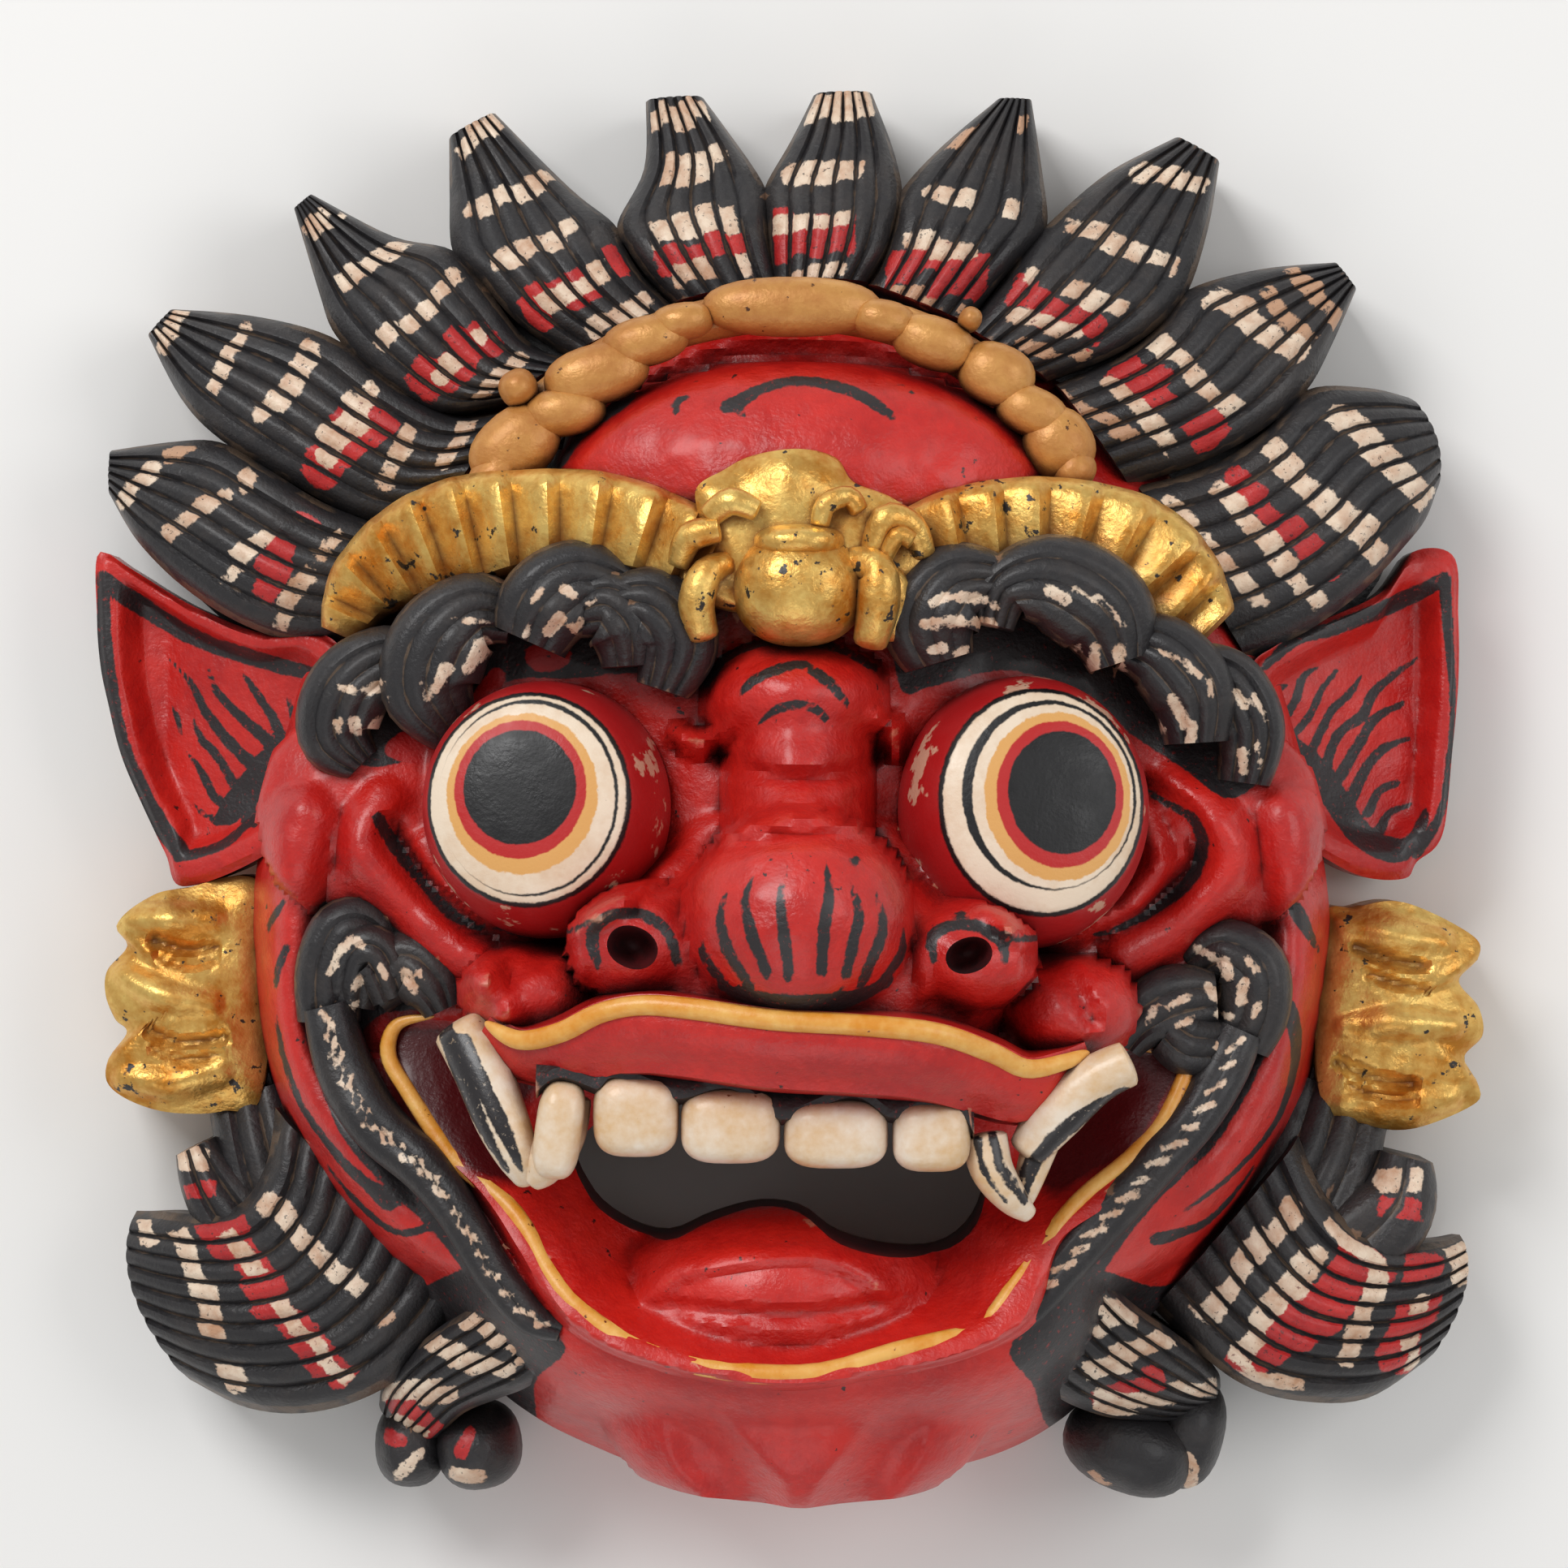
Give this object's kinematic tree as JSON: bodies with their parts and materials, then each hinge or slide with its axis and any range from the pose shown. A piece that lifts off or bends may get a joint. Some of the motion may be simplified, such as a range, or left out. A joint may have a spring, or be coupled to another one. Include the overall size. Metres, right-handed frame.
{
  "type": "carved wooden barong mask",
  "caption": "Carved and painted wooden demon mask with bulging eyes, open fanged mouth, crown of flame-shaped hair locks, pointed ears and gilded bands; hollow at the back.",
  "frame": {"origin": "centre of the outline, on the flat back plane that the mask lies on", "axes": "+Z out of the face, +Y towards the crown, +X to the right of someone looking at the face"},
  "size_m": [0.2708, 0.2752, 0.116],
  "materials": {
    "painted_wood": "semi-gloss red, black, cream and gold paint over carved wood, worn at the edges"
  },
  "bodies": {
    "root": {"mask": "painted_wood"}
  },
  "joints": []
}
